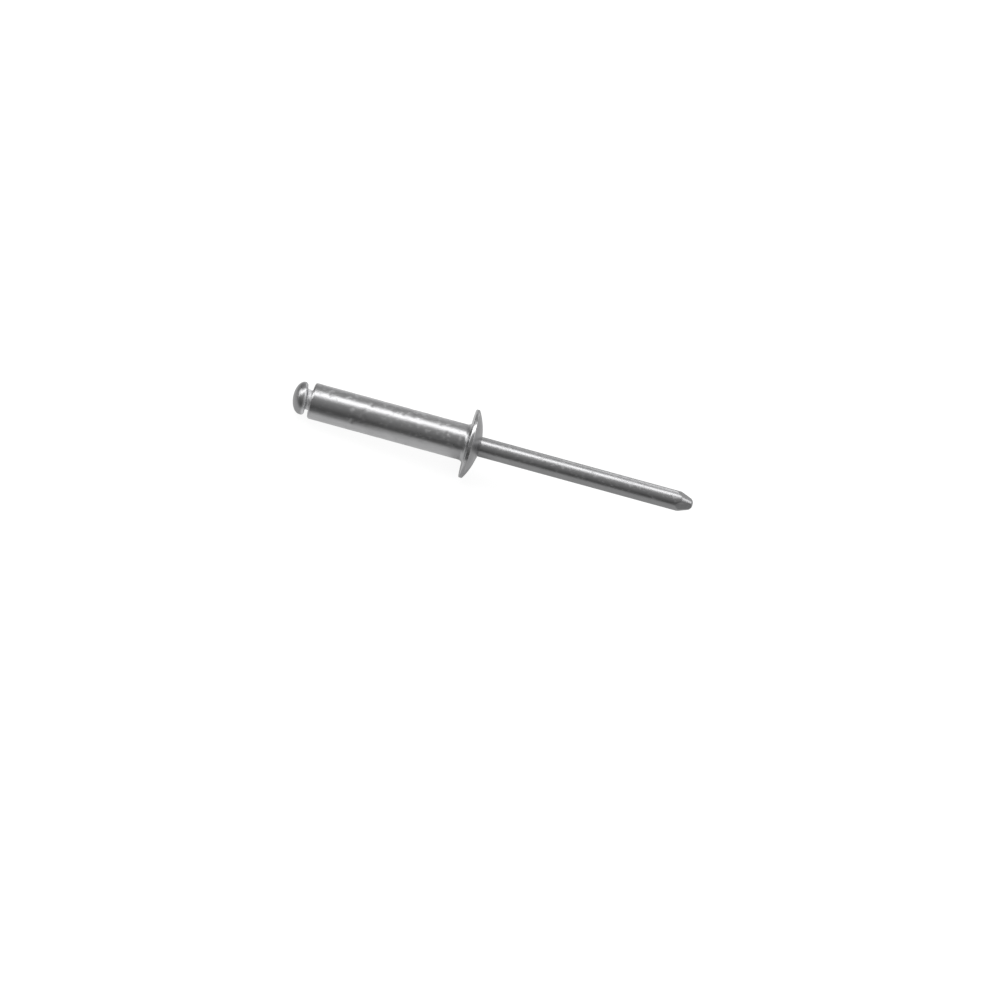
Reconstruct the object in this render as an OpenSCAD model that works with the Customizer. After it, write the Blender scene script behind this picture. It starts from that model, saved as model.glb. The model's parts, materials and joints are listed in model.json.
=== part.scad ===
// Blind rivet with a domed head, unused: a flanged tubular body threaded on its mandrel.
// It lies as it comes to rest on a flat surface, on the rim of its flange and the edge of the
// body's blind end, so the axis slopes and the mandrel's tail is in the air.
// Millimetres, +Z up. The origin is the centre of the flange's bearing face, the tail points
// along +X and the blind end along -X.

/* [Rivet body] */
// Diameter of the tubular body, which is the nominal size of the rivet
body_d = 4.8; // [4.4:0.1:6]
// Length of the body from the flange's bearing face to its blind end
body_len = 21; // [8:0.5:30]
// Radius of the edge round the blind end
blind_edge_r = 0.3; // [0.1:0.05:0.5]
// Radius of the fillet between the body and the flange
neck_fillet_r = 0.6; // [0.1:0.05:0.8]
// Chamfer at each end of the bore
bore_chamfer = 0.12; // [0.05:0.01:0.25]

/* [Flange] */
// Diameter of the flange
flange_d = 9.2; // [8.6:0.1:12]
// Height of the dome over the bearing face, where the mandrel comes out of it
dome_h = 1.65; // [1.2:0.05:2.5]
// Height at which the dome would meet the rim if their corner were sharp
rim_h = 0.48; // [0.45:0.01:0.8]
// Radius of the rim's edge on the bearing side
rim_edge_r = 0.13; // [0.1:0.01:0.22]
// Radius of the rim's edge on the domed side
rim_top_r = 0.13; // [0.1:0.01:0.25]

/* [Mandrel] */
// Diameter of the mandrel's stem
stem_d = 2.65; // [2.2:0.05:2.8]
// Radial clearance between the stem and the bore of the body
bore_clearance = 0.1; // [0.03:0.01:0.2]
// Length of stem that stands out of the dome, to its tip
tail_len = 29.1; // [15:0.1:45]

/* [Mandrel head] */
// Diameter of the mandrel's head
head_d = 4.3; // [4:0.02:4.4]
// Thickness of the mandrel's head
head_h = 1.8; // [1.7:0.05:2.4]
// Height of the domed outer face of the head
head_dome_h = 1.25; // [0.8:0.01:1.3]
// Radius of the head's edge on the side of the body
head_edge_r = 0.4; // [0.1:0.01:0.45]
// Gap between the head's inner face and the body's blind end
head_gap = 0.65; // [0.3:0.01:1]
// Radius of the fillet between the head and the stem
head_fillet_r = 0.2; // [0.05:0.01:0.25]

/* [Break point] */
// Distance of the break crimps from the head's inner face
break_dist = 3.2; // [2:0.1:7]
// Depth of each break crimp
break_depth = 0.42; // [0.2:0.02:0.6]

/* [Tip] */
// Length of the rounded nose of the tip
nose_len = 2; // [1.2:0.1:3]
// Diameter of the small flat on the end of the nose
nose_flat_d = 0.9; // [0.5:0.1:1.4]
// Length of the pinched flats on the tip
pinch_len = 2.3; // [1.2:0.1:3.5]
// Slope of the pinched flats to the axis, in degrees
pinch_angle = 18; // [10:1:22]
// Turn of the pinched flats and break crimps about the axis, in degrees
pinch_turn = 66; // [0:1:90]

/* [Hidden] */
$fn = 96;
// Sides of the flats on the tip and of the break crimps
PINCHES = 4;
// More than the size of any cut, so that a cutting block passes right through
CLEAR = 4;
// Steps in the arc of a rounded edge or fillet, and in that of a dome or nose
EDGE_STEPS = 6;
DOME_STEPS = 12;
body_r = body_d / 2;
flange_r = flange_d / 2;
stem_r = stem_d / 2;
head_r = head_d / 2;
bore_r = stem_r + bore_clearance;
mouth_r = bore_r + bore_chamfer;

// The dome is an arc about a centre on the axis, through the bore's mouth and the rim's corner
dome_z = (pow(mouth_r, 2) + pow(dome_h, 2) - pow(flange_r, 2) - pow(rim_h, 2)) / (2 * (dome_h - rim_h));
dome_r = norm([flange_r, rim_h - dome_z]);
// Centre of the rim's upper edge, which is tangent to the rim and to the dome
rim_top = [flange_r - rim_top_r, dome_z + sqrt(pow(dome_r - rim_top_r, 2) - pow(flange_r - rim_top_r, 2))];
rim_top_angle = atan2(rim_top.y - dome_z, rim_top.x);
mouth_angle = atan2(dome_h - dome_z, mouth_r);

// Heights along the axis, from the bearing face: the tail is up and the head is down
head_face = -body_len - head_gap;
head_widest = head_face - head_h + head_dome_h;
tip_end = dome_h + tail_len;

// The two edges that touch the surface, as the centres of their arcs in the axial plane
rim_contact = [flange_r - rim_edge_r, rim_edge_r];
blind_contact = [body_r - blind_edge_r, -body_len + blind_edge_r];
contact_run = rim_contact - blind_contact;
// Slope of the axis at rest: the common tangent of the two arcs is level
lie_slope = atan2(contact_run.x, contact_run.y) + asin((rim_edge_r - blind_edge_r) / norm(contact_run));

// Points on an arc about a centre, from one angle to another. first = 1 leaves out the point at its start
function arc(centre, r, from, to, steps, first = 0) =
    [for (i = [first : steps]) let (a = from + (to - from) * i / steps) centre + r * [cos(a), sin(a)]];

// Points on a quarter of an ellipse about a centre on the axis, with its half width and its half height
function oval(height, half_w, half_h, from, to, steps) =
    [for (i = [0 : steps]) let (a = from + (to - from) * i / steps) [half_w * cos(a), height + half_h * sin(a)]];

// Carries a shape that stands on its axis to the way that the rivet lies
module lying() {
    rotate([0, 90 - lie_slope, 0]) children();
}

// Section of the body: a tube with a fillet, a flat bearing face, a round rim and a dome
module body_section() {
    blind_end = [
        [bore_r, -body_len + bore_chamfer],
        [mouth_r, -body_len],
    ];
    polygon(concat(
        blind_end,
        arc(blind_contact, blind_edge_r, -90, 0, EDGE_STEPS),
        arc([body_r + neck_fillet_r, -neck_fillet_r], neck_fillet_r, 180, 90, EDGE_STEPS),
        arc(rim_contact, rim_edge_r, -90, 0, EDGE_STEPS),
        arc(rim_top, rim_top_r, 0, rim_top_angle, EDGE_STEPS),
        arc([0, dome_z], dome_r, rim_top_angle, mouth_angle, DOME_STEPS, first = 1),
        [[bore_r, dome_h - bore_chamfer]]
    ));
}

// Section of the mandrel: a button head, a stem and a rounded nose
module mandrel_section() {
    flat_angle = acos(nose_flat_d / stem_d);
    polygon(concat(
        oval(head_widest, head_r, head_dome_h, -90, 0, DOME_STEPS),
        arc([head_r - head_edge_r, head_face - head_edge_r], head_edge_r, 0, 90, EDGE_STEPS),
        arc([stem_r + head_fillet_r, head_face + head_fillet_r], head_fillet_r, -90, -180, EDGE_STEPS),
        oval(tip_end - nose_len, stem_r, nose_len / sin(flat_angle), 0, flat_angle, DOME_STEPS),
        [[0, tip_end]]
    ));
}

// One block that cuts a sloping flat on the tip
module pinch_cut() {
    translate([stem_r, 0, tip_end - pinch_len])
        rotate([0, -pinch_angle, 0])
            translate([0, -CLEAR, 0])
                cube([CLEAR, 2 * CLEAR, 2 * CLEAR]);
}

// One block that cuts a V across the stem, with a right angle at its root
module break_cut() {
    translate([stem_r - break_depth, 0, head_face + break_dist])
        rotate([0, 45, 0])
            translate([0, -CLEAR, 0])
                cube([2 * break_depth, 2 * CLEAR, 2 * break_depth]);
}

// Repeats a cut evenly about the axis
module pinched_all_round() {
    for (i = [0 : PINCHES - 1])
        rotate([0, 0, pinch_turn + 360 * i / PINCHES]) children();
}

// Tubular body with its domed flange, in one piece
module rivet_body() {
    color([0.70, 0.70, 0.71])
        lying()
            rotate_extrude() body_section();
}

// Headed wire that is pulled to set the rivet, and breaks at its crimps
module mandrel() {
    color([0.60, 0.60, 0.62])
        lying()
            difference() {
                rotate_extrude() mandrel_section();
                pinched_all_round() pinch_cut();
                pinched_all_round() break_cut();
            }
}

rivet_body();
mandrel();
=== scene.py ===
"""Blind rivet with a domed head, lying on a pale studio floor.

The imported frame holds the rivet's solids. This script puts a finely shaped surface over each of
them, gives the surfaces their steel, and sets up the floor, the light and the camera. Sizes are
in millimetres and angles in degrees, unless a name says otherwise. Meshes are in metres.
"""
import itertools
import json
import logging
import math
from dataclasses import dataclass
from enum import Enum
from typing import Any, Sequence

import bpy
import numpy as np
from mathutils import Matrix, Vector


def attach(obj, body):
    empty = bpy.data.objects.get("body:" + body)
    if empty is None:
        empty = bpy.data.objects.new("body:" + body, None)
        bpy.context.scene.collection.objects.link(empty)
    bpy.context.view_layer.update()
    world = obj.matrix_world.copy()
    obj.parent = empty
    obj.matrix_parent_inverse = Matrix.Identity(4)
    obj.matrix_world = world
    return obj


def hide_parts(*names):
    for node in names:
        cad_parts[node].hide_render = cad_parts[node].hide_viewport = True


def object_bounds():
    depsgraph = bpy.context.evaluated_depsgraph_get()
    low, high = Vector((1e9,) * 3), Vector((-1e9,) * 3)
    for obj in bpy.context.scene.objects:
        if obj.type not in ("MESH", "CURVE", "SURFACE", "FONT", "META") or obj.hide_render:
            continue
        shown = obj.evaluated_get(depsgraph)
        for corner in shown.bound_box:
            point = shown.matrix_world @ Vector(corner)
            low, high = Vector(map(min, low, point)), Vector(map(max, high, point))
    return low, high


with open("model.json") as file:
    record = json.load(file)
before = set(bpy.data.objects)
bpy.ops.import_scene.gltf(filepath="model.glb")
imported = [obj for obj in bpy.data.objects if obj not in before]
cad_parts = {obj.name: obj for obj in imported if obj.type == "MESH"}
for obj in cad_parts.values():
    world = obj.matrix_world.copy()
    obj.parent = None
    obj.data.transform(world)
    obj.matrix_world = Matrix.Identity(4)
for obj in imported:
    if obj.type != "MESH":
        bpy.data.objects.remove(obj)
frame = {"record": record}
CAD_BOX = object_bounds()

log = logging.getLogger("blind_rivet")

MM = 0.001
MICROMETRE = 1e-6

# Fewest steps in a round stretch of a profile, however small it is
ARC_STEPS = 4
OVAL_STEPS = 6
# How near a point has to be to a face to count as on it, and what may be lost in rounding
ON_FACE = 0.01
ROUNDING = 1e-9
# Whole numbers of a hash: factors for the indices, the seed and the spread of its bits, and masks
HASH_INDEX = (374761393, 668265263, 2147483647)
HASH_SEED = 1274126177
HASH_SPREAD = 1103515245
HASH_BITS = 0xFFFFFFFF
HASH_LEVELS = 0xFFFF


def rivet_axis() -> np.ndarray:
    """Unit vector along the rivet, towards the mandrel's tail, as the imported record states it."""
    mounts = {mount["name"]: mount for mount in frame["record"]["mounts"]}
    axis = np.array(mounts["mandrel_tail"]["axis"], float)
    return axis / np.linalg.norm(axis)


# Shapes


def line(start: Sequence[float], end: Sequence[float], step: float) -> np.ndarray:
    """Points on a straight stretch of a profile, without its last point.

    Args:
        start: First point, as (height along the axis, radius).
        end: Point at which the next stretch starts.
        step: Greatest distance between points.

    Returns:
        Array of (height, radius), spaced evenly from start.
    """
    a, b = np.array(start, float), np.array(end, float)
    count = max(1, math.ceil(np.linalg.norm(b - a) / step))
    share = np.arange(count)[:, None] / count
    return a + (b - a) * share


def arc(centre: Sequence[float], radius: float, turn: Sequence[float], step: float) -> np.ndarray:
    """Points on a round stretch of a profile, without its last point.

    A point at angle a is the centre plus radius times (sin a, cos a), so 0 points away from the
    axis and 90 along it, towards the tail.

    Args:
        centre: Centre as (height, radius from the axis).
        radius: Radius of the arc.
        turn: First and last angle.
        step: Greatest distance between points.

    Returns:
        Array of (height, radius from the axis).
    """
    first, last = np.radians(turn)
    count = max(ARC_STEPS, math.ceil(abs(last - first) * radius / step))
    a = first + (last - first) * np.arange(count) / count
    return np.array(centre, float) + radius * np.stack([np.sin(a), np.cos(a)], axis=1)


def oval(height: float, half: Sequence[float], turn: Sequence[float], step: float) -> np.ndarray:
    """Points on part of an ellipse whose centre is on the axis, without the last point.

    A point at angle a is (height + half height times sin a, half width times cos a).

    Args:
        height: Height of the centre.
        half: Half height and half width.
        turn: First and last angle.
        step: Greatest distance between points, roughly.

    Returns:
        Array of (height, radius from the axis).
    """
    first, last = np.radians(turn)
    count = max(OVAL_STEPS, math.ceil(abs(last - first) * max(half) / step))
    a = first + (last - first) * np.arange(count) / count
    return np.stack([height + half[0] * np.sin(a), half[1] * np.cos(a)], axis=1)


def soft_min(a: np.ndarray, b: np.ndarray, blend: float) -> np.ndarray:
    """The lesser of two arrays, rounded where they cross over a width of about blend.

    Formula: half of (a + b - root((a - b) squared + blend squared)).
    """
    return 0.5 * (a + b - np.sqrt((a - b) ** 2 + blend**2))


def ramp(value: np.ndarray, low: float, high: float) -> np.ndarray:
    """Smooth step from 0 at low to 1 at high: 3 t squared minus 2 t cubed."""
    t = np.clip((value - low) / (high - low), 0.0, 1.0)
    return t * t * (3.0 - 2.0 * t)


class Fade(Enum):
    """Where an effect starts and where it is full, in millimetres short of a face or height.

    A minus means past it.
    """

    SIDE = (0.25, 0.10)
    RIM = (0.16, 0.02)
    BLIND_END = (0.30, 0.10)
    BLIND_SIDE = (0.30, 0.12)
    BLIND_CUT = (0.15, 0.02)
    MOUTH = (0.10, -0.05)
    UNDER_FLANGE = (0.02, 0.0)
    FILLET_START = (0.02, -0.10)
    FILLET_OUT = (0.0, -0.30)
    HEAD_RIM = (0.20, 0.05)
    HEAD_REAR = (0.60, 0.20)
    HEAD_UNDER = (0.35, 0.10)
    HEAD_TO_STEM = (0.0, -0.40)
    STEM_START = (-0.10, -0.30)
    STEM_END = (2.0, 1.6)
    NECK_START = (0.0, -0.10)
    NECK_END = (0.20, -0.10)
    INTO_BODY = (0.0, -0.40)
    OUT_OF_DOME = (0.25, -0.06)


def near(value: np.ndarray, face: float, fade: Fade) -> np.ndarray:
    """Smooth step from 0 to 1 as a value comes up to a face, over the stretch that fade gives."""
    start, full = fade.value
    return ramp(value, face - start, face - full)


@dataclass(frozen=True)
class Waver:
    """Smooth random field between -1 and 1.

    Attributes:
        cell: Side of a cell of its cubic lattice.
        seed: Picks one field among many.
    """

    cell: float
    seed: int

    def at(self, points: np.ndarray) -> np.ndarray:
        """The field's values at places, from shape (..., 3) to shape (...).

        Each corner of the lattice gets a value from a whole-number hash of its indices, and the
        field blends the eight corners round a point with smooth-step weights.
        """
        place = points / self.cell
        base = np.floor(place).astype(np.int64)
        weight = ramp(place - base, 0.0, 1.0)
        total = np.zeros(points.shape[:-1])
        for corner in itertools.product((0, 1), repeat=3):
            code = (base + np.array(corner)) @ np.array(HASH_INDEX)
            code = (code + self.seed * HASH_SEED) & HASH_BITS
            code = ((code ^ (code >> 13)) * HASH_SPREAD) & HASH_BITS
            value = ((code ^ (code >> 16)) & HASH_LEVELS) / (HASH_LEVELS / 2) - 1.0
            total += value * np.prod(np.where(corner, weight, 1.0 - weight), axis=-1)
        return total


@dataclass(frozen=True)
class Dents:
    """Small round dents, as handling leaves them on loose hardware.

    Attributes:
        count: How many.
        deepest: Depth of the deepest, which is as wide as the widest. Narrower ones are shallower.
        widest: Radius of the widest.
        seed: Picks their places.
        narrow: Weight of distance along the axis, more than 1 for dents that run round the piece.
        least_width: Radius of the narrowest, as a share of the widest.
        least_depth: Depth of the shallowest of one width, as a share of the deepest of it.
    """

    count: int
    deepest: float
    widest: float
    seed: int
    narrow: float = 2.5
    least_width: float = 0.35
    least_depth: float = 0.25

    def depth(self, points: np.ndarray, among: np.ndarray) -> np.ndarray:
        """Depth at each point: the sum over dents of depth times exp(-(distance / radius) squared).

        The square of the distance counts its part along the axis more, by narrow.

        Args:
            points: Places on the surface, shape (rows, columns, 3).
            among: Row numbers on which dents may lie.

        Returns:
            Depths, shape (rows, columns).
        """
        draw = np.random.default_rng(self.seed)
        axis = rivet_axis()
        total = np.zeros(points.shape[:2])
        for _ in range(self.count):
            centre = points[draw.choice(among), draw.integers(points.shape[1])]
            radius = self.widest * draw.uniform(self.least_width, 1.0)
            depth = self.deepest * draw.uniform(self.least_depth, 1.0) * radius / self.widest
            apart = points - centre
            away = np.sum(apart**2, axis=-1) + (self.narrow - 1.0) * (apart @ axis) ** 2
            total += depth * np.exp(-away / radius**2)
        return total


class Surface:
    """A surface of revolution round the rivet's axis, shaped further by functions on it.

    Row i is a point of the profile and column j an angle round the axis, both whole arrays.
    """

    def __init__(self, profile: np.ndarray, columns: int) -> None:
        """Spins a profile.

        Args:
            profile: Array of (height, radius), from the blind end to the tail on the outside.
            columns: Number of points round the axis.
        """
        self.height = np.repeat(profile[:, :1], columns, axis=1)
        self.radius = np.repeat(profile[:, 1:], columns, axis=1)
        self.angle = np.linspace(0.0, 2.0 * math.pi, columns, endpoint=False)[None, :]
        self.marks: dict[str, np.ndarray] = {}

    def places(self) -> np.ndarray:
        """Places in the row frame, in millimetres.

        Formula: place = height times axis + radius times (cos angle times down + sin angle times
        back), where down is square to the axis and points to the floor, and back is +Y.

        Returns:
            Array of places, shape (rows, columns, 3).
        """
        axis = rivet_axis()
        back = np.array([0.0, 1.0, 0.0])
        down = np.cross(back, axis)
        out = np.cos(self.angle)[..., None] * down + np.sin(self.angle)[..., None] * back
        return self.height[..., None] * axis + self.radius[..., None] * out

    def faces(self, ring: bool) -> tuple[list[list[int]], np.ndarray]:
        """Faces, outwards, and the points of the surface that they use.

        Args:
            ring: True if the profile closes on itself, False if both its ends are on the axis.
                Then a fan of triangles round a single point closes each end.

        Returns:
            Lists of vertex numbers, and the number of each vertex among the surface's points.
        """
        rows, columns = self.height.shape
        index = np.arange(rows * columns).reshape(rows, columns)
        if ring:
            right, ahead = np.roll(index, -1, axis=1), np.roll(index, -1, axis=0)
            quads = np.stack([index, right, np.roll(right, -1, axis=0), ahead], axis=-1)
            return quads.reshape(-1, 4).tolist(), index.ravel()
        last = (rows - 2) * columns + 1
        inner = np.arange(1, last).reshape(rows - 2, columns)
        right = np.roll(inner, -1, axis=1)
        quads = np.stack([inner[:-1], right[:-1], right[1:], inner[1:]], axis=-1)
        start = np.stack([np.zeros(columns, int), right[0], inner[0]], axis=1)
        end = np.stack([inner[-1], right[-1], np.full(columns, last)], axis=1)
        keep = np.concatenate([[0], index[1:-1].ravel(), [index[-1, 0]]])
        return quads.reshape(-1, 4).tolist() + start.tolist() + end.tolist(), keep

    def mesh(self, name: str, ring: bool) -> bpy.types.Object:
        """Makes the mesh object, at the origin, with its marks as attributes."""
        faces, keep = self.faces(ring)
        vertices = (self.places() * MM).reshape(-1, 3)[keep]
        data = bpy.data.meshes.new(name)
        data.from_pydata(vertices.tolist(), [], faces)
        data.polygons.foreach_set("use_smooth", np.ones(len(data.polygons), bool))
        for mark, values in self.marks.items():
            layer = data.attributes.new(mark, "FLOAT", "POINT")
            layer.data.foreach_set("value", values.ravel()[keep].astype(np.float32))
        data.update()
        piece = bpy.data.objects.new(name, data)
        bpy.context.scene.collection.objects.link(piece)
        return piece


# Shader trees


class Wire:
    """A socket or number in a shader tree, with arithmetic that adds Math nodes."""

    def __init__(self, tree: "Tree", source: Any) -> None:
        """Holds an output socket, or a plain number."""
        self.tree = tree
        self.source = source

    def math(self, operation: str, *others: Any) -> "Wire":
        """Adds a Math node on this value and the others, and returns its result."""
        return self.tree.add("ShaderNodeMath", {"operation": operation}, [self, *others])["Value"]

    def __add__(self, other: Any) -> "Wire":
        """This value plus another."""
        return self.math("ADD", other)

    __radd__ = __add__

    def __sub__(self, other: Any) -> "Wire":
        """This value minus another."""
        return self.math("SUBTRACT", other)

    def __rsub__(self, other: Any) -> "Wire":
        """Another value minus this one."""
        return Wire(self.tree, other).math("SUBTRACT", self)

    def __mul__(self, other: Any) -> "Wire":
        """This value times another."""
        return self.math("MULTIPLY", other)

    __rmul__ = __mul__

    def __pow__(self, other: Any) -> "Wire":
        """This value to a power."""
        return self.math("POWER", other)

    def __neg__(self) -> "Wire":
        """Minus this value."""
        return self.math("MULTIPLY", -1.0)

    def between(self, low: float, high: float) -> "Wire":
        """Smooth step of this value: 0 at low and 1 at high."""
        settings = {"interpolation_type": "SMOOTHSTEP", "clamp": True}
        inputs = {"Value": self, "From Min": low, "From Max": high}
        return self.tree.add("ShaderNodeMapRange", settings, inputs)["Result"]


class Node:
    """One node of a tree, whose outputs are read by name."""

    def __init__(self, tree: "Tree", node: bpy.types.Node) -> None:
        """Wraps a node that is already in the tree."""
        self.tree = tree
        self.node = node

    def __getitem__(self, name: str) -> Wire:
        """The output of that name."""
        return Wire(self.tree, self.node.outputs[name])


class Tree:
    """The node tree of a material or world, empty at first."""

    def __init__(self, owner: bpy.types.ID) -> None:
        """Clears the tree of its owner, which is a material or world."""
        owner.use_nodes = True
        self.nodes = owner.node_tree.nodes
        self.links = owner.node_tree.links
        self.nodes.clear()

    def add(self, kind: str, settings: dict[str, Any] | None = None, inputs: Any = None) -> Node:
        """Adds a node of any type.

        Args:
            kind: Blender's name of the node type.
            settings: Properties, set before the sockets. A ramp's "stops" are (place, grey).
            inputs: Values or wires for the input sockets, by name or, in a list, by order.
        """
        node = self.nodes.new(kind)
        for name, value in (settings or {}).items():
            if name == "stops":
                self.set_stops(node.color_ramp, value)
            else:
                setattr(node, name, value)
        pairs = inputs.items() if isinstance(inputs, dict) else enumerate(inputs or [])
        for socket, value in pairs:
            source = value.source if isinstance(value, Wire) else value
            if isinstance(source, bpy.types.NodeSocket):
                self.links.new(source, node.inputs[socket])
            else:
                node.inputs[socket].default_value = source
        return Node(self, node)

    @staticmethod
    def set_stops(color_ramp: bpy.types.ColorRamp, stops: Sequence[tuple[float, float]]) -> None:
        """Gives a ramp its stops, as (place, grey level) pairs in rising order."""
        while len(color_ramp.elements) < len(stops):
            color_ramp.elements.new(1.0)
        for element, (place, grey) in zip(color_ramp.elements, stops):
            element.position = place
            element.color = (grey, grey, grey, 1.0)


# Finishes


class Noise(Enum):
    """Noise patterns on the steel, as features in a millimetre and levels of detail."""

    BLOTCHES = (1.1, 5.0)
    CLOUDS = (0.35, 2.0)
    GRAIN = (22.0, 2.0)
    SCUFFS = (1.9, 3.0)
    DRAWN_LINES = (9.0, 4.0)
    TURNED_LINES = (12.0, 4.0)


@dataclass(frozen=True)
class Effect:
    """What a feature of the steel does where it is full.

    Attributes:
        shade: Added to the brightness of the colour, as a share of the clean metal's.
        rough: Added to the roughness.
    """

    shade: float
    rough: float = 0.0


CLOUD = Effect(0.24)
LINES = Effect(0.24, 0.08)
SCUFF = Effect(0.12, 0.19)
EDGE = Effect(0.10, -0.07)
# Painted shade for recesses, and painted light for the gap between the mandrel's head and the body,
# which lifts the colour there to up to about twice the clean metal's. Both also add roughness.
RECESS_SHADE = Effect(-0.12, 0.15)
GAP_LIGHT = Effect(1.0, 0.25)

# Middle of a noise pattern, and its roughness from one level of detail to the next
MIDDLE = 0.5
NOISE_ROUGHNESS = 0.55
# Levels of noise between which a scuff fades in
SCUFF_EDGE = (0.54, 0.70)
# Share of a length that a pattern counts: along drawn lines, and on a turned face along the axis
# and outwards
DRAWN_SQUEEZE = 0.12
TURNED_SQUEEZE = (0.5, 0.3)
# Way in which a seed moves the patterns
SEED_WAY = (1.0, 0.7, 0.0)


@dataclass(frozen=True)
class Steel:
    """Steel of one piece: satin, with fine lines, blotches, scuffs and worn edges.

    Its colour also holds painted shade in recesses and painted light in the gap between the
    mandrel's head and the body.

    Attributes:
        name: Name of the material.
        colour: Colour of the clean metal, linear.
        roughness: Roughness of the clean metal.
        blotch: How much the roughness changes from place to place.
        line_depth: Depth of the fine lines and scuffs, in micrometres.
        grain_depth: Depth of the fine grain, in micrometres.
        seed: Moves the patterns, so that two pieces don't share one.
    """

    name: str
    colour: tuple[float, float, float]
    roughness: float
    blotch: float
    line_depth: float
    grain_depth: float
    seed: float

    def drawn_lines(self, tree: Tree, place: Wire) -> Wire:
        """Fine lines along the axis, as drawing leaves them, between 0 and 1."""
        x, y, z = self.split(tree, place)
        return self.noise(tree, self.join(tree, x * DRAWN_SQUEEZE, y, z), Noise.DRAWN_LINES)

    def turned_lines(self, tree: Tree, place: Wire) -> Wire:
        """Fine rings round the axis, as a turned or pressed face has them, between 0 and 1."""
        x, y, z = self.split(tree, place)
        away = (y * y + z * z) ** 0.5
        along, outwards = TURNED_SQUEEZE
        where = self.join(tree, away, x * along + self.seed, away * outwards)
        return self.noise(tree, where, Noise.TURNED_LINES)

    @staticmethod
    def split(tree: Tree, place: Wire) -> tuple[Wire, Wire, Wire]:
        """The three parts of a vector."""
        parts = tree.add("ShaderNodeSeparateXYZ", None, {"Vector": place})
        return parts["X"], parts["Y"], parts["Z"]

    @staticmethod
    def join(tree: Tree, x: Any, y: Any, z: Any) -> Wire:
        """A vector from its three parts."""
        return tree.add("ShaderNodeCombineXYZ", None, {"X": x, "Y": y, "Z": z})["Vector"]

    @staticmethod
    def noise(tree: Tree, place: Wire, pattern: Noise) -> Wire:
        """A noise pattern, between 0 and 1, at a place in millimetres."""
        scale, detail = pattern.value
        inputs = {"Vector": place, "Scale": scale, "Detail": detail, "Roughness": NOISE_ROUGHNESS}
        return tree.add("ShaderNodeTexNoise", None, inputs)["Fac"]

    def places(self, tree: Tree) -> tuple[Wire, Wire]:
        """The place on the piece moved by the seed, and as it is.

        Both are in millimetres, with X along the axis.
        """
        mapping = {
            "Vector": tree.add("ShaderNodeTexCoord")["Object"],
            "Location": tuple(self.seed * part for part in SEED_WAY),
            "Rotation": (0.0, math.asin(rivet_axis()[2]), 0.0),
            "Scale": (1.0 / MM,) * 3,
        }
        moved = tree.add("ShaderNodeMapping", None, mapping)
        centred = tree.add("ShaderNodeMapping", None, {**mapping, "Location": (0.0, 0.0, 0.0)})
        return moved["Vector"], centred["Vector"]

    def material(self) -> bpy.types.Material:
        """Builds the material.

        Returns:
            A metal whose colour, roughness and bump follow Object coordinates and the piece's mesh
            marks for drawn lines, worn edges, painted shade in recesses and painted light in the
            gap under the mandrel's head.
        """
        made = bpy.data.materials.new(self.name)
        tree = Tree(made)
        place, centred = self.places(tree)
        drawn, edge, recess_shade, gap_light = [
            tree.add("ShaderNodeAttribute", {"attribute_name": mark})["Fac"]
            for mark in ("drawn", "edge", "recess_shade", "gap_light")
        ]

        along = self.drawn_lines(tree, place)
        rings = self.turned_lines(tree, centred)
        lines = drawn * along + (1.0 - drawn) * rings
        blotches = self.noise(tree, place, Noise.BLOTCHES)
        cloud = self.noise(tree, place, Noise.CLOUDS)
        grain = self.noise(tree, place, Noise.GRAIN)
        scuffs = self.noise(tree, place, Noise.SCUFFS).between(*SCUFF_EDGE)

        shade = 1.0 + CLOUD.shade * (cloud - MIDDLE) + LINES.shade * (lines - MIDDLE)
        # Shade is painted into the colour in recesses here, and light in the gap under the
        # mandrel's head.
        shade = shade + SCUFF.shade * scuffs + EDGE.shade * edge + RECESS_SHADE.shade * recess_shade
        shade = shade + GAP_LIGHT.shade * gap_light
        inputs = {"Vector": self.colour, "Scale": shade}
        tint = tree.add("ShaderNodeVectorMath", {"operation": "SCALE"}, inputs)["Vector"]
        rough = self.roughness + self.blotch * (blotches - MIDDLE) + LINES.rough * (lines - MIDDLE)
        rough = rough + SCUFF.rough * scuffs + EDGE.rough * edge + RECESS_SHADE.rough * recess_shade
        rough = rough + GAP_LIGHT.rough * gap_light

        height = lines * self.line_depth + grain * self.grain_depth - scuffs * self.line_depth
        inputs = {"Strength": 1.0, "Distance": MICROMETRE, "Height": height}
        bump = tree.add("ShaderNodeBump", None, inputs)["Normal"]
        inputs = {"Base Color": tint, "Roughness": rough, "Metallic": 1.0, "Normal": bump}
        surface = tree.add("ShaderNodeBsdfPrincipled", None, inputs)
        tree.add("ShaderNodeOutputMaterial", None, {"Surface": surface["BSDF"]})
        return made


BODY_STEEL = Steel(
    "body_steel",
    colour=(0.415, 0.415, 0.42),
    roughness=0.30,
    blotch=0.10,
    line_depth=0.8,
    grain_depth=0.10,
    seed=3.0,
)
MANDREL_STEEL = Steel(
    "mandrel_steel",
    colour=(0.38, 0.38, 0.385),
    roughness=0.32,
    blotch=0.08,
    line_depth=0.6,
    grain_depth=0.06,
    seed=11.0,
)


# Pieces


@dataclass(frozen=True)
class BodySteps:
    """Greatest distances between the points of the body's section, by stretch."""

    blind_face: float = 0.05
    corner: float = 0.03
    side: float = 0.10
    bearing: float = 0.12
    rim: float = 0.025
    dome: float = 0.08
    bore: float = 1.2


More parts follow.
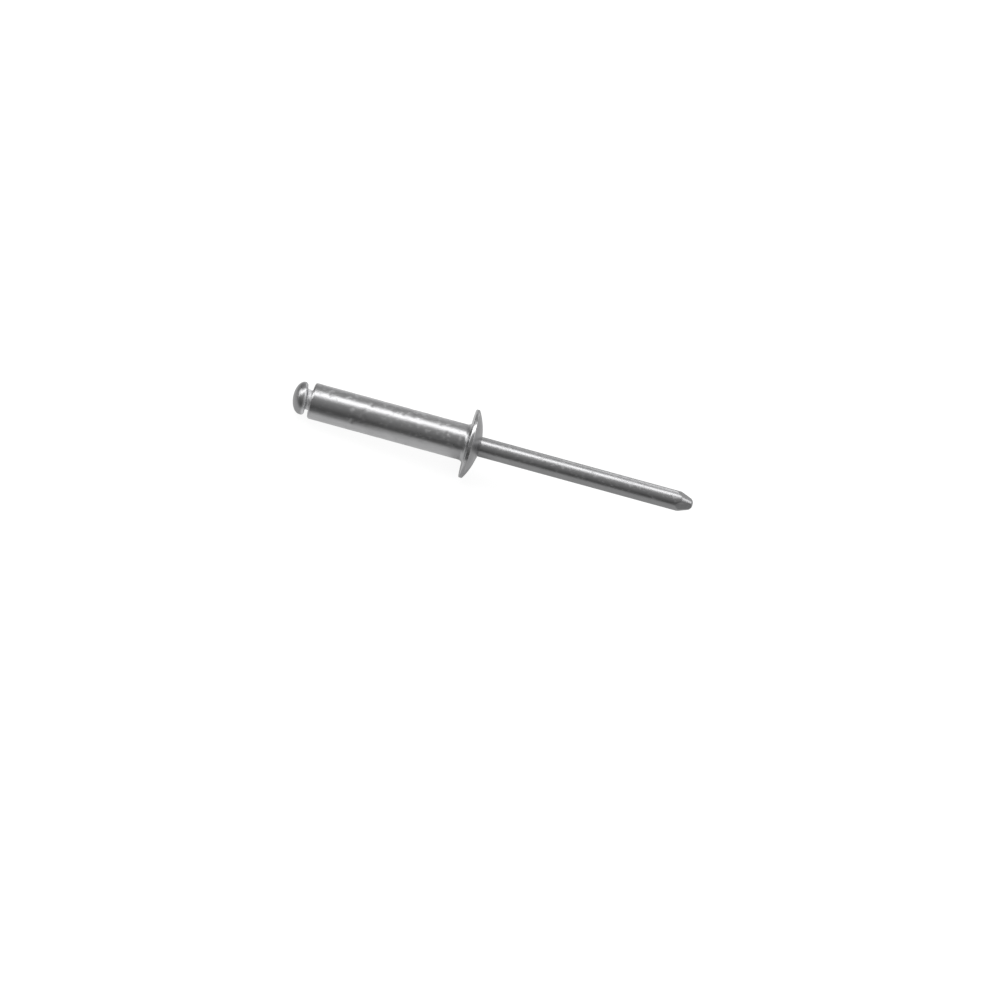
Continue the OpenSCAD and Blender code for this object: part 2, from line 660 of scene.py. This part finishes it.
@dataclass
class RivetBody:
    """Tubular body with its domed flange, in one piece.

    The attributes down to rim_top are those of the solid.

    Attributes:
        rim_height: Height at which the dome would meet a rim with a sharp corner.
        broad: Field of a broad waver, to which a share of the fine one is added.
        waver: Depth of the waver, of which mean and swing are shares.
        inset: How far the whole outside lies inside the solid.
        dome_sink: Mean depth of the dome's waver.
        fillet_shade: Most painted shade in the fillet, as a share of the full recess shade.
        cut_gap_light: Most painted light on the cut blind end, which faces the gap to the mandrel's
            head.
    """

    radius: float = 2.4
    length: float = 21.0
    bore_radius: float = 1.425
    blind_edge: float = 0.3
    fillet: float = 0.6
    chamfer: float = 0.12
    flange_radius: float = 4.6
    dome_height: float = 1.65
    rim_height: float = 0.48
    rim_edge: float = 0.13
    rim_top: float = 0.13
    columns: int = 264
    steps: BodySteps = BodySteps()
    broad: Waver = Waver(2.6, 1)
    fine: Waver = Waver(1.1, 2)
    fine_share: float = 0.5
    waver: float = 0.006
    waver_mean: float = 0.6
    waver_swing: float = 0.4
    inset: float = 0.004
    dome_waver: Waver = Waver(1.8, 3)
    dome_sink: float = 0.012
    # Painted shade in the fillet, and painted light on the cut blind end.
    fillet_shade: float = 0.35
    cut_gap_light: float = 0.6
    dents: Dents = Dents(130, 0.05, 0.50, 5)

    @property
    def mouth(self) -> float:
        """Radius of the bore's mouth, at the wide side of its chamfer."""
        return self.bore_radius + self.chamfer

    def profile(self) -> np.ndarray:
        """Closed section: blind end, body, fillet, bearing face, rim, dome and back down the bore.

        The dome is an arc about a centre on the axis, through the bore's mouth and the corner that
        the rim would have if it were sharp.
        """
        step = self.steps
        bore, mouth, side = self.bore_radius, self.mouth, self.radius
        blind, top = -self.length, self.dome_height
        corner = self.flange_radius**2 + self.rim_height**2
        dome_centre = (mouth**2 + top**2 - corner) / (2 * (top - self.rim_height))
        dome = math.hypot(self.flange_radius, self.rim_height - dome_centre)
        top_out = self.flange_radius - self.rim_top
        top_height = dome_centre + math.sqrt((dome - self.rim_top) ** 2 - top_out**2)
        top_turn = math.degrees(math.atan2(top_height - dome_centre, top_out))
        mouth_turn = math.degrees(math.atan2(top - dome_centre, mouth))
        blind_in, blind_up = side - self.blind_edge, blind + self.blind_edge
        foot = side + self.fillet
        rim = self.flange_radius - self.rim_edge
        return np.concatenate([
            line((blind, mouth), (blind, blind_in), step.blind_face),
            arc((blind_up, blind_in), self.blind_edge, (-90, 0), step.corner),
            line((blind_up, side), (-self.fillet, side), step.side),
            arc((-self.fillet, foot), self.fillet, (180, 90), step.corner),
            line((0.0, foot), (0.0, rim), step.bearing),
            arc((self.rim_edge, rim), self.rim_edge, (-90, 0), step.rim),
            arc((top_height, top_out), self.rim_top, (0, top_turn), step.rim),
            arc((dome_centre, 0.0), dome, (top_turn, mouth_turn), step.dome),
            line((top, mouth), (top - self.chamfer, bore), step.corner),
            line((top - self.chamfer, bore), (blind + self.chamfer, bore), step.bore),
            line((blind + self.chamfer, bore), (blind, mouth), step.corner),
        ])

    def build(self) -> bpy.types.Object:
        """Shapes the surface, puts it under the root body and hides the solid that it covers.

        The outside only loses: a slow waver, small dents and a thin inset. So nothing stands
        proud of the solid.
        """
        profile = self.profile()
        surface = Surface(profile, self.columns)
        places = surface.places()
        outside = surface.radius > self.mouth + ON_FACE
        height, radius = profile[:, 0], profile[:, 1]
        on_side = np.flatnonzero((height < -self.fillet) & (radius > self.radius - ON_FACE))
        waver = self.broad.at(places) + self.fine_share * self.fine.at(places)
        sink = self.waver * (self.waver_mean + self.waver_swing * waver)
        sink = sink + self.dents.depth(places, on_side)
        under_rim = ramp(-surface.height, -self.rim_edge, self.fillet)
        surface.radius = surface.radius - outside * sink * under_rim
        surface.radius = surface.radius - outside * self.inset
        over_dome = ramp(surface.height, self.rim_height, self.dome_height)
        fall = self.dome_sink * over_dome * (1.0 + self.dome_waver.at(places))
        surface.height = surface.height - outside * fall
        surface.marks = self.marks(surface)
        piece = surface.mesh("rivet_body_surface", ring=True)
        piece.data.materials.append(BODY_STEEL.material())
        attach(piece, "root")
        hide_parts("rivet_body")
        return piece

    def marks(self, surface: Surface) -> dict[str, np.ndarray]:
        """Where the steel is drawn, worn or shaded, as values between 0 and 1 on the mesh.

        Returns:
            Arrays by name: drawn on the body's side, edge on the rim and the blind end's edge,
            recess_shade, painted shade in the bore, at its mouth and in the fillet, and gap_light,
            painted light on the cut blind end, which faces the gap to the mandrel's head.
        """
        height, radius = surface.height, surface.radius
        side = ramp(-height, 0.0, self.fillet) * near(radius, self.radius, Fade.SIDE)
        rim = near(radius, self.flange_radius, Fade.RIM)
        blind = near(-height, self.length, Fade.BLIND_END)
        blind = blind * near(radius, self.radius, Fade.BLIND_SIDE)
        bore = 1.0 - near(radius, self.mouth, Fade.MOUTH)
        fillet = near(-height, 0.0, Fade.UNDER_FLANGE) * near(-height, 0.0, Fade.FILLET_START)
        fillet = fillet * (1.0 - ramp(-height, -Fade.FILLET_START.value[1], self.fillet))
        fillet = fillet * (1.0 - near(radius, self.radius + self.fillet, Fade.FILLET_OUT))
        # Painted shade in the bore, its mouth and the fillet, and painted light on the cut blind
        # end, next to the gap under the mandrel's head.
        return {
            "drawn": side,
            "edge": np.maximum(rim, blind),
            "recess_shade": np.maximum(bore, self.fillet_shade * fillet),
            "gap_light": self.cut_gap_light * near(-height, self.length, Fade.BLIND_CUT),
        }


@dataclass(frozen=True)
class MandrelSteps:
    """Greatest distances between the points of the mandrel's section, by stretch."""

    head: float = 0.05
    head_edge: float = 0.03
    head_fillet: float = 0.02
    stem: float = 0.12
    crimp: float = 0.03
    hidden: float = 0.8
    tip: float = 0.02
    nose: float = 0.04


@dataclass
class Mandrel:
    """Headed wire through the body, with break crimps inside it and a pinched tip.

    Attributes:
        head_face: Height of the head's inner face.
        head_lean: Lean of the head to the stem.
        lean_turn: Angle round the axis of the side of the head that leans to the tail.
        head_sink: How far the head is set towards the body.
        face_lean: Further lean of the head's inner face.
        face_back: How far that face is set back from the body.
        nose_flat: Radius of the small flat on the end of the nose.
        pinch_turn: Angle round the axis of a flat and a crimp.
        pinch_margin: How far before the flats close points start.
        pinch_reach: How far before them the flats may cut, for their soft start.
        ridge_round: Half the angle over which a ridge between two flats is round.
        stretch: Scale of a place as the waver reads it, less than 1 for one along the axis.
        sink: Mean depth of the waver.
        rim_edge: Most that the head's rim counts as worn edge.
        head_gap_light: Most painted light on the head's inner side, in the gap to the body.
        neck_gap_light: What the neck adds to that.
    """

    stem_radius: float = 1.325
    head_radius: float = 2.15
    head_thickness: float = 1.8
    head_dome: float = 1.25
    head_edge: float = 0.4
    head_fillet: float = 0.2
    head_face: float = -21.65
    head_lean: float = 3.9
    lean_turn: float = -100.0
    head_sink: float = 0.04
    face_lean: float = 3.6
    face_back: float = 0.09
    body_length: float = 21.0
    dome_height: float = 1.65
    tail: float = 29.1
    break_distance: float = 3.2
    break_depth: float = 0.42
    crimp_reach: float = 0.6
    nose_length: float = 2.0
    nose_flat: float = 0.45
    pinch_length: float = 2.3
    pinch_slope: float = 18.0
    pinch_turn: float = 66.0
    pinch_margin: float = 0.1
    pinch_reach: float = 0.3
    pinches: int = 4
    flat_blend: float = 0.02
    ridge_round: float = 14.0
    ridge_blend: float = 0.01
    columns: int = 180
    steps: MandrelSteps = MandrelSteps()
    waver: Waver = Waver(1.7, 21)
    stretch: tuple[float, float, float] = (0.35, 1.0, 1.0)
    sink: float = 0.003
    rim_edge: float = 0.3
    # Painted light on the head's inner side and the neck, in the gap to the body.
    head_gap_light: float = 0.6
    neck_gap_light: float = 0.5
    dents: Dents = Dents(50, 0.02, 0.32, 9)

    @property
    def end(self) -> float:
        """Height of the end of the tip."""
        return self.dome_height + self.tail

    @property
    def crimp(self) -> float:
        """Height of the break crimps."""
        return self.head_face + self.break_distance

    @property
    def neck(self) -> float:
        """Height at which the stem starts, past the fillet under the head."""
        return self.head_face + self.head_fillet

    def profile(self) -> np.ndarray:
        """Open section from the middle of the head to the end of the tip, both on the axis."""
        step = self.steps
        stem, head = self.stem_radius, self.head_radius
        face, end = self.head_face, self.end
        widest = face - self.head_thickness + self.head_dome
        edge_up, edge_in = face - self.head_edge, head - self.head_edge
        fillet_out = stem + self.head_fillet
        crimp_start, crimp_end = self.crimp - self.crimp_reach, self.crimp + self.crimp_reach
        tip = end - self.pinch_length - self.pinch_margin
        nose_start = end - self.nose_length
        flat_turn = math.degrees(math.acos(self.nose_flat / stem))
        nose = (self.nose_length / math.sin(math.radians(flat_turn)), stem)
        return np.concatenate([
            oval(widest, (self.head_dome, head), (-90, 0), step.head),
            line((widest, head), (edge_up, head), step.head),
            arc((edge_up, edge_in), self.head_edge, (0, 90), step.head_edge),
            line((face, edge_in), (face, fillet_out), step.head),
            arc((self.neck, fillet_out), self.head_fillet, (-90, -180), step.head_fillet),
            line((self.neck, stem), (crimp_start, stem), step.stem),
            line((crimp_start, stem), (crimp_end, stem), step.crimp),
            line((crimp_end, stem), (self.dome_height, stem), step.hidden),
            line((self.dome_height, stem), (tip, stem), step.stem),
            line((tip, stem), (nose_start, stem), step.tip),
            oval(nose_start, nose, (0, flat_turn), step.nose),
            line((end, self.nose_flat), (end, 0.0), step.nose),
            [(end, 0.0)],
        ])

    def pinched(self, surface: Surface) -> np.ndarray:
        """Radius left by the flats of the tip and the break crimps, at each point of a surface.

        A flat is a plane whose distance from the axis falls with the slope, so it allows a radius
        of distance over the cosine of the angle to its middle. A crimp is two such planes at 45
        degrees, which meet at its root. Near a ridge the cosine is held up, so the ridge is round.
        """
        between = 2.0 * math.pi / self.pinches
        offset = surface.angle - math.radians(self.pinch_turn)
        middle = np.cos((offset + between / 2) % between - between / 2)
        ridge = np.full_like(middle, math.cos(between / 2 - math.radians(self.ridge_round)))
        middle = -soft_min(-middle, -ridge, self.ridge_blend)
        start = self.end - self.pinch_length
        slope = math.tan(math.radians(self.pinch_slope))
        flat = self.stem_radius - (surface.height - start) * slope
        notch = self.stem_radius - self.break_depth + np.abs(surface.height - self.crimp)
        cut = soft_min(surface.radius, flat / middle, self.flat_blend)
        cut = np.where(surface.height > start - self.pinch_reach, cut, surface.radius)
        return np.where(surface.height > self.neck, np.minimum(cut, notch / middle), cut)

    def build(self) -> bpy.types.Object:
        """Shapes the surface, puts it under the root body and hides the solid that it covers.

        The small flat on the end of the nose keeps to the rim that the flats leave round it. The
        stem loses a slow waver and small dents, and then the head leans.
        """
        profile = self.profile()
        surface = Surface(profile, self.columns)
        surface.radius = self.pinched(surface)
        cap = surface.height >= self.end - ROUNDING
        brim = surface.radius[np.flatnonzero(cap[:, 0])[0]]
        share = profile[:, 1:] / self.nose_flat
        surface.radius = np.where(cap, brim * share, surface.radius)
        places, height = surface.places(), profile[:, 0]
        on_tail = (height > self.dome_height) & (height < self.end - self.pinch_length)
        sink = self.sink * (1.0 + self.waver.at(places * np.array(self.stretch)))
        sink = sink + self.dents.depth(places, np.flatnonzero(on_tail))
        surface.radius = surface.radius * (1.0 - sink / self.stem_radius)
        in_head = 1.0 - near(surface.height, self.head_face, Fade.HEAD_TO_STEM)
        rear = near(surface.height, self.head_face, Fade.HEAD_REAR)
        way = np.cos(surface.angle - math.radians(self.lean_turn))
        lean = np.tan(np.radians(self.head_lean + self.face_lean * rear)) * surface.radius * way
        move = lean + self.head_sink - self.face_back * rear
        surface.height = surface.height + in_head * move
        surface.marks = self.marks(surface)
        piece = surface.mesh("mandrel_surface", ring=False)
        piece.data.materials.append(MANDREL_STEEL.material())
        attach(piece, "root")
        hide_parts("mandrel")
        return piece

    def marks(self, surface: Surface) -> dict[str, np.ndarray]:
        """Where the steel is drawn, worn or shaded, as values from 0 to about 1 on the mesh.

        Returns:
            Arrays by name: drawn on the stem, edge on the head's rim, recess_shade, painted shade
            inside the body, and gap_light, painted light on the head's inner side and the upset
            neck between the head and the body.
        """
        height, radius = surface.height, surface.radius
        stem = near(height, self.head_face, Fade.STEM_START)
        stem = stem * (1.0 - near(height, self.end, Fade.STEM_END))
        rim = self.rim_edge * near(radius, self.head_radius, Fade.HEAD_RIM)
        # Painted shade on the stem inside the body.
        inside = near(height, -self.body_length, Fade.INTO_BODY)
        inside = inside * (1.0 - near(height, self.dome_height, Fade.OUT_OF_DOME))
        # Painted light on the head's inner side and the neck, in the gap between the head and the
        # body.
        gap_light = self.head_gap_light * near(height, self.head_face, Fade.HEAD_UNDER)
        gap_light = gap_light + self.neck_gap_light * near(height, self.head_face, Fade.NECK_START)
        gap_light = gap_light * (1.0 - near(height, -self.body_length, Fade.NECK_END))
        return {"drawn": stem, "edge": rim, "recess_shade": inside, "gap_light": gap_light}


# Studio


WHITE = (1.0, 1.0, 1.0, 1.0)


def grey_colour(level: float) -> tuple[float, float, float, float]:
    """An opaque grey of that level, linear."""
    return (level, level, level, 1.0)


def shown(tree: Tree) -> tuple[Wire, Wire]:
    """1 for camera rays, and 1 for mirrored ones, which are glossy or transmission rays."""
    path = tree.add("ShaderNodeLightPath")
    mirrored = path["Is Glossy Ray"].math("MAXIMUM", path["Is Transmission Ray"])
    return path["Is Camera Ray"], mirrored


class Way(Enum):
    """A way along the floor, as the axis that it follows and its sign."""

    LEFT = ("X", -1.0)
    RIGHT = ("X", 1.0)
    FRONT = ("Y", -1.0)


@dataclass(frozen=True)
class Shade:
    """A darker area of the floor, which only mirrored rays see.

    Attributes:
        dark: Share of the light that it takes, where it is full.
        fades: For each way along the floor, where it starts and where it is full, as distances
            from the origin.
    """

    dark: float
    fades: tuple[tuple[Way, float, float], ...]

    def amount(self, place: Node) -> Wire:
        """Share of the light that it takes, at the X and Y that place holds, in metres."""
        amount = Wire(place.tree, self.dark)
        for way, start, full in self.fades:
            axis, sign = way.value
            amount = amount * (place[axis] * sign).between(start * MM, full * MM)
        return amount


@dataclass
class Floor:
    """Pale floor under the lowest point of the rivet.

    It is lit like any surface, so it keeps the shadow, and a glow lifts it to white for camera
    rays. Mirrored rays see a dimmer glow, shaded to stand for what stood round the real rivet.

    Attributes:
        half: Half of its side, in metres.
        white: Its colour, as lit.
        lift: Glow for camera rays.
        sheen: Glow for mirrored rays, where nothing shades it.
        shades: Areas that each take their share of what the others leave: near the body in front,
            far in front, in front of the tail, left of the head, right past the head, and at the
            flange's foot.
        tail_shades: Areas under the tail, whose shares are added up: all of it, and its front.
    """

    half: float = 3.0
    white: float = 0.20
    lift: float = 0.90
    sheen: float = 0.75
    shades: tuple[Shade, ...] = (
        Shade(0.95, ((Way.FRONT, 4.0, 15.0), (Way.LEFT, 0.0, 20.0))),
        Shade(1.0, ((Way.FRONT, 50.0, 100.0),)),
        Shade(1.0, ((Way.FRONT, 20.0, 50.0), (Way.RIGHT, 35.0, 65.0))),
        Shade(0.75, ((Way.LEFT, 24.0, 42.0),)),
        Shade(0.3, ((Way.LEFT, 20.5, 22.0),)),
        Shade(0.45, ((Way.RIGHT, -1.5, 0.0), (Way.LEFT, -5.0, -3.0))),
    )
    tail_shades: tuple[Shade, Shade] = (
        Shade(0.39, ((Way.RIGHT, -4.0, 8.0),)),
        Shade(0.06, ((Way.RIGHT, -4.0, 8.0), (Way.FRONT, -2.0, 4.0))),
    )

    def make(self) -> bpy.types.Object:
        """Lays the floor."""
        low = min(corner[2] for corner in CAD_BOX)
        half = self.half
        corners = [(-half, -half, low), (half, -half, low), (half, half, low), (-half, half, low)]
        data = bpy.data.meshes.new("floor")
        data.from_pydata(corners, [], [(0, 1, 2, 3)])
        made = bpy.data.objects.new("floor", data)
        bpy.context.scene.collection.objects.link(made)
        data.materials.append(self.material())
        return made

    def material(self) -> bpy.types.Material:
        """Builds the floor's material: a pale matt surface with a glow."""
        made = bpy.data.materials.new("floor_white")
        tree = Tree(made)
        camera, mirrored = shown(tree)
        glow = camera * self.lift + mirrored * self.day(tree) * self.sheen
        lit = tree.add("ShaderNodeBsdfDiffuse", None, {"Color": grey_colour(self.white)})
        lift = tree.add("ShaderNodeEmission", None, {"Strength": glow})
        both = tree.add("ShaderNodeAddShader", None, [lit["BSDF"], lift["Emission"]])
        tree.add("ShaderNodeOutputMaterial", None, {"Surface": both["Shader"]})
        return made

    def day(self, tree: Tree) -> Wire:
        """Share of the glow that the shades leave at a place."""
        object_place = tree.add("ShaderNodeTexCoord")["Object"]
        place = tree.add("ShaderNodeSeparateXYZ", None, {"Vector": object_place})
        tail, tail_front = [shade.amount(place) for shade in self.tail_shades]
        day = 1.0 - (tail + tail_front)
        for shade in self.shades:
            day = day * (1.0 - shade.amount(place))
        return day


@dataclass
class Lamp:
    """Soft lamp over the rivet, level with the floor. Lengths are in metres.

    Attributes:
        size: Its length and width.
        glow: Brightness of its face.
        turn: Turn of its length from the X axis.
    """

    size: tuple[float, float] = (2.0, 0.46)
    height: float = 1.0
    back: float = 0.26
    left: float = 0.2
    glow: float = 2.75
    turn: float = 31.0

    def make(self) -> bpy.types.Object:
        """Hangs the lamp, with the power that its glow takes: glow times pi times its area."""
        data = bpy.data.lights.new("soft_lamp", "AREA")
        data.shape = "RECTANGLE"
        data.size, data.size_y = self.size
        data.energy = self.glow * math.pi * self.size[0] * self.size[1]
        made = bpy.data.objects.new("soft_lamp", data)
        made.location = (-self.left, self.back, self.height)
        made.rotation_euler = (0.0, 0.0, math.radians(self.turn))
        made.visible_camera = False
        bpy.context.scene.collection.objects.link(made)
        return made


@dataclass
class Room:
    """Room round the rivet, darker in front than behind.

    Camera rays see white, mirrored rays the room and all other rays a plain fill. Pairs of
    numbers are the parts of a unit direction between which an area fades in or out.

    Attributes:
        fill: Grey level for other rays.
        stops: Grey level by rise, for directions across the rivet. The rise is the angle of
            (height, front) over half a turn: 0 is the front horizon and 1 the one behind.
        left_side: Where the left starts, in -X, and right_side where the right does, in X.
        strip_rise: Rise of the plane that holds two bright strips, as an angle.
        strip_edge: Where a strip ends, as distance from that plane.
        left_strip: Where the left strip starts, in -X, and left_strip_low in Z.
        left_strip_gain: Its brightness beside the right one's.
        right_strip: Where the right strip starts, in X, and right_strip_end where it ends.
        window_side: Where a bright window behind starts, in X, and window_end where it ends.
        window_rise: Where it starts, in rise.
    """

    fill: float = 0.5
    stops: tuple[tuple[float, float], ...] = (
        (0.0, 0.12),
        (0.10, 0.12),
        (0.15, 0.17),
        (0.22, 0.25),
        (0.42, 0.38),
        (0.66, 0.50),
        (0.83, 0.41),
        (1.0, 0.56),
    )
    left_level: float = 0.22
    left_side: tuple[float, float] = (0.30, 0.80)
    right_level: float = 0.5
    right_side: tuple[float, float] = (0.40, 0.90)
    strip_rise: float = 105.0
    strip_edge: tuple[float, float] = (0.12, 0.30)
    strip_level: float = 2.2
    left_strip: tuple[float, float] = (0.55, 0.75)
    left_strip_low: tuple[float, float] = (0.02, 0.25)
    left_strip_gain: float = 1.3
    right_strip: tuple[float, float] = (0.50, 0.62)
    right_strip_end: tuple[float, float] = (0.75, 0.95)
    window_level: float = 2.6
    window_side: tuple[float, float] = (0.05, 0.20)
    window_end: tuple[float, float] = (0.22, 0.31)
    window_rise: tuple[float, float] = (0.76, 0.90)

    def grey(self, tree: Tree) -> Wire:
        """Grey level of the room in the direction of a ray."""
        direction = tree.add("ShaderNodeTexCoord")["Generated"]
        parts = tree.add("ShaderNodeSeparateXYZ", None, {"Vector": direction})
        x, y, z = parts["X"], parts["Y"], parts["Z"]
        rise = z.math("ARCTAN2", -y) * (1.0 / math.pi)
        middle = tree.add("ShaderNodeValToRGB", {"stops": self.stops}, {"Fac": rise})["Color"]
        left, right = (-x).between(*self.left_side), x.between(*self.right_side)
        grey = middle * (1.0 - left) * (1.0 - right)
        grey = grey + left * self.left_level + right * self.right_level
        square = math.radians(self.strip_rise - 90.0)
        off_strip = (z * math.sin(square) - y * math.cos(square)).math("ABSOLUTE")
        on_strip = 1.0 - off_strip.between(*self.strip_edge)
        left_strip = on_strip * (-x).between(*self.left_strip) * z.between(*self.left_strip_low)
        right_strip = on_strip * x.between(*self.right_strip)
        right_strip = right_strip * (1.0 - x.between(*self.right_strip_end))
        strips = self.left_strip_gain * left_strip + right_strip
        window = x.between(*self.window_side) * (1.0 - x.between(*self.window_end))
        window = window * rise.between(*self.window_rise)
        return grey + strips * self.strip_level + window * self.window_level

    @staticmethod
    def mix(tree: Tree, factor: Wire, a: Any, b: Any) -> Wire:
        """Colour a where the factor is 0, and b where it is 1."""
        inputs = {"Factor": factor, "A": a, "B": b}
        return tree.add("ShaderNodeMix", {"data_type": "RGBA"}, inputs)["Result"]

    def make(self) -> bpy.types.World:
        """Makes the world and sets it as the scene's."""
        made = bpy.data.worlds.new("room")
        bpy.context.scene.world = made
        tree = Tree(made)
        grey = self.grey(tree)
        camera, mirrored = shown(tree)
        level = self.mix(tree, mirrored, grey_colour(self.fill), grey)
        white = self.mix(tree, camera, level, WHITE)
        glow = tree.add("ShaderNodeBackground", None, {"Color": white, "Strength": 1.0})
        tree.add("ShaderNodeOutputWorld", None, {"Surface": glow["Background"]})
        return made


@dataclass
class Viewpoint:
    """Camera at the photograph's angle.

    Attributes:
        azimuth: Turn of the camera round the rivet, 0 looking along +Y.
        elevation: Height over the horizon.
        roll: Turn of the picture, clockwise.
        distance: From the camera to the plane through the origin.
        frame_width: What the picture spans in that plane.
        centre: Middle of the picture in that plane, right of and above the origin.
        clip: Nearest and farthest that it sees, in metres.
    """

    azimuth: float = -14.0
    elevation: float = 52.0
    roll: float = 29.985
    distance: float = 200.0
    frame_width: float = 130.74
    centre: tuple[float, float] = (4.271, -7.427)
    clip: tuple[float, float] = (0.01, 20.0)

    def make(self) -> bpy.types.Object:
        """Makes the camera and sets it as the scene's."""
        turn, rise = math.radians(self.azimuth), math.radians(self.elevation)
        out = math.cos(rise)
        back = Vector((math.sin(turn) * out, -math.cos(turn) * out, math.sin(rise)))
        level = (-back).to_track_quat("-Z", "Y").to_matrix()
        facing = level @ Matrix.Rotation(math.radians(self.roll), 3, "Z")
        data = bpy.data.cameras.new("camera")
        data.lens = data.sensor_width * self.distance / self.frame_width
        data.clip_start, data.clip_end = self.clip
        made = bpy.data.objects.new("camera", data)
        place = facing @ Vector((self.centre[0], self.centre[1], self.distance)) * MM
        made.matrix_world = Matrix.Translation(place) @ facing.to_4x4()
        bpy.context.scene.collection.objects.link(made)
        bpy.context.scene.camera = made
        return made


def main() -> None:
    """Builds the pieces, the studio and the camera, and logs each piece."""
    logging.basicConfig(level=logging.INFO, format="%(name)s: %(message)s")
    bpy.context.scene.view_settings.view_transform = "Standard"
    Viewpoint().make()
    for part in (RivetBody(), Mandrel()):
        piece = part.build()
        log.info("%s: %d faces", piece.name, len(piece.data.polygons))
    for part in (Floor(), Lamp(), Room()):
        log.info("studio: %s", part.make().name)


if __name__ == "__main__":
    main()
